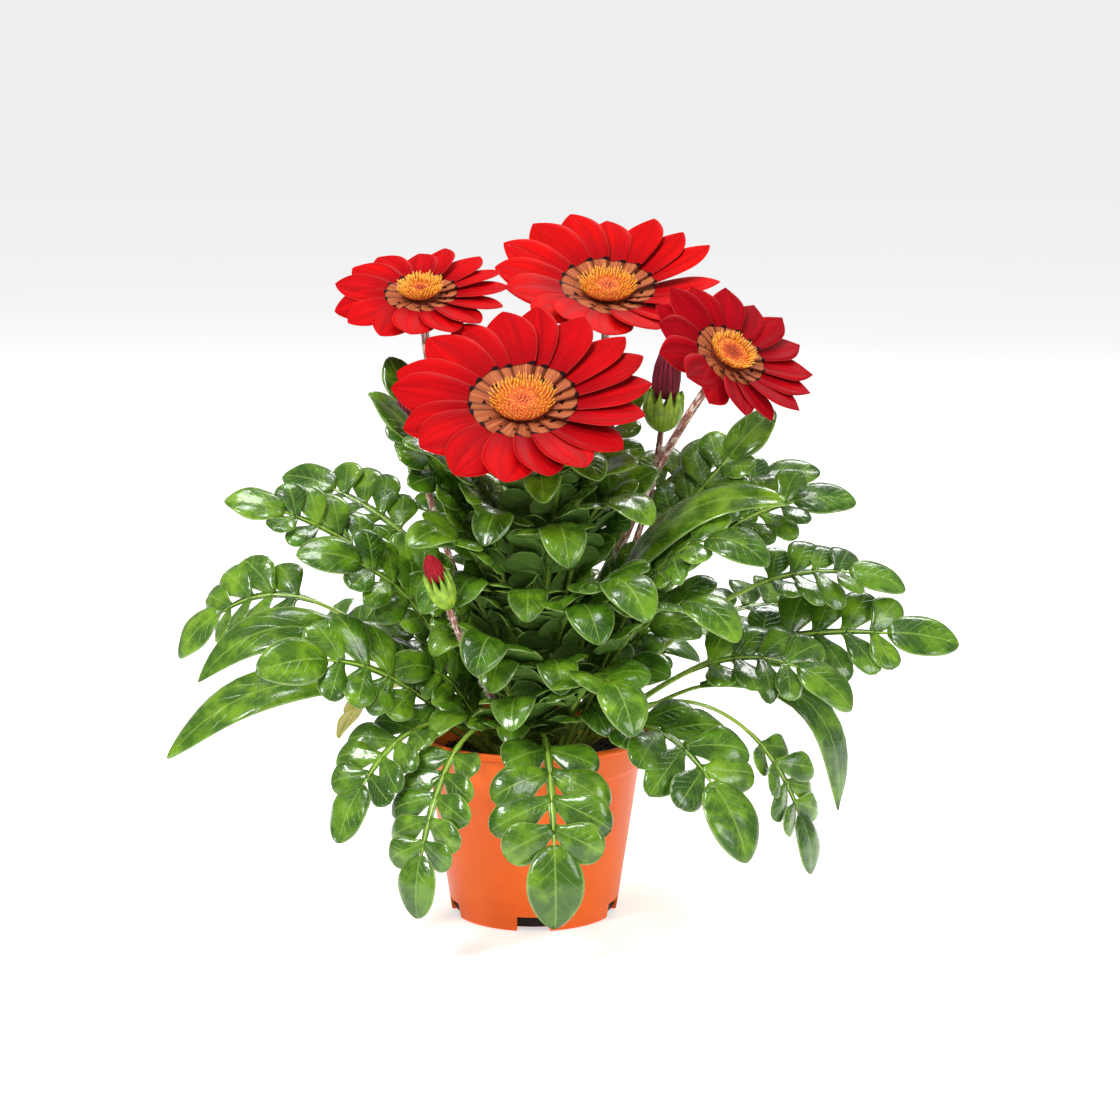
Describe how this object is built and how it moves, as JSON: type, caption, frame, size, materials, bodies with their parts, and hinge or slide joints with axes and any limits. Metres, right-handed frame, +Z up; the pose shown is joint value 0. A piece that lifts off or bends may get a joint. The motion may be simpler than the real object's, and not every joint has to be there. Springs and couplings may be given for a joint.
{
  "type": "potted gazania plant",
  "caption": "Flowering gazania in a round nursery pot: glossy lobed leaves, scarlet daisy-like blooms on woolly stalks, closed buds and soil.",
  "frame": {"origin": "middle of the pot's base, on the surface the pot stands on", "axes": "+Z up along the pot's axis; -Y is the front, the side with the largest bloom; +X is right"},
  "size_m": [0.3596, 0.256, 0.3138],
  "materials": {
    "pot_plastic": "orange satin moulded plastic",
    "soil": null,
    "leaf": null,
    "petal": "scarlet petal with fine streaks, terracotta at its foot; rubber stands in for plant tissue",
    "disc": "yellow-orange florets; rubber stands in for plant tissue",
    "cup": "yellow-green bracts; rubber stands in for plant tissue",
    "stalk": "reddish brown stalk with white wool; rubber stands in for plant tissue",
    "bud": "dark red pleated bud; rubber stands in for plant tissue"
  },
  "bodies": {
    "root": {"bud_cup_1": "cup", "bud_cup_2": "cup", "bud_cup_3": "cup", "bud_petals_1": "bud", "bud_petals_2": "bud", "bud_petals_3": "bud", "bud_stalk_1": "stalk", "bud_stalk_2": "stalk", "bud_stalk_3": "stalk", "crown_leaves": "leaf", "cup_1": "cup", "cup_2": "cup", "cup_3": "cup", "cup_4": "cup", "disc_1": "disc", "disc_2": "disc", "disc_3": "disc", "disc_4": "disc", "leaf_04": "leaf", "leaf_09": "leaf", "leaf_14": "leaf", "leaf_15": "leaf", "leaf_16": "leaf", "leaf_17": "leaf", "leaf_28": "leaf", "leaf_33": "leaf", "leaf_34": "leaf", "leaf_35": "leaf", "leaf_36": "leaf", "leaf_37": "leaf", "leaf_38": "leaf", "leaf_39": "leaf", "leaves_01": "leaf", "leaves_02": "leaf", "leaves_05": "leaf", "leaves_13": "leaf", "leaves_18": "leaf", "petals_1": "petal", "petals_2": "petal", "petals_3": "petal", "petals_4": "petal", "pot": "pot_plastic", "soil": "soil", "stalk_1": "stalk", "stalk_2": "stalk", "stalk_3": "stalk", "stalk_4": "stalk"}
  },
  "joints": []
}
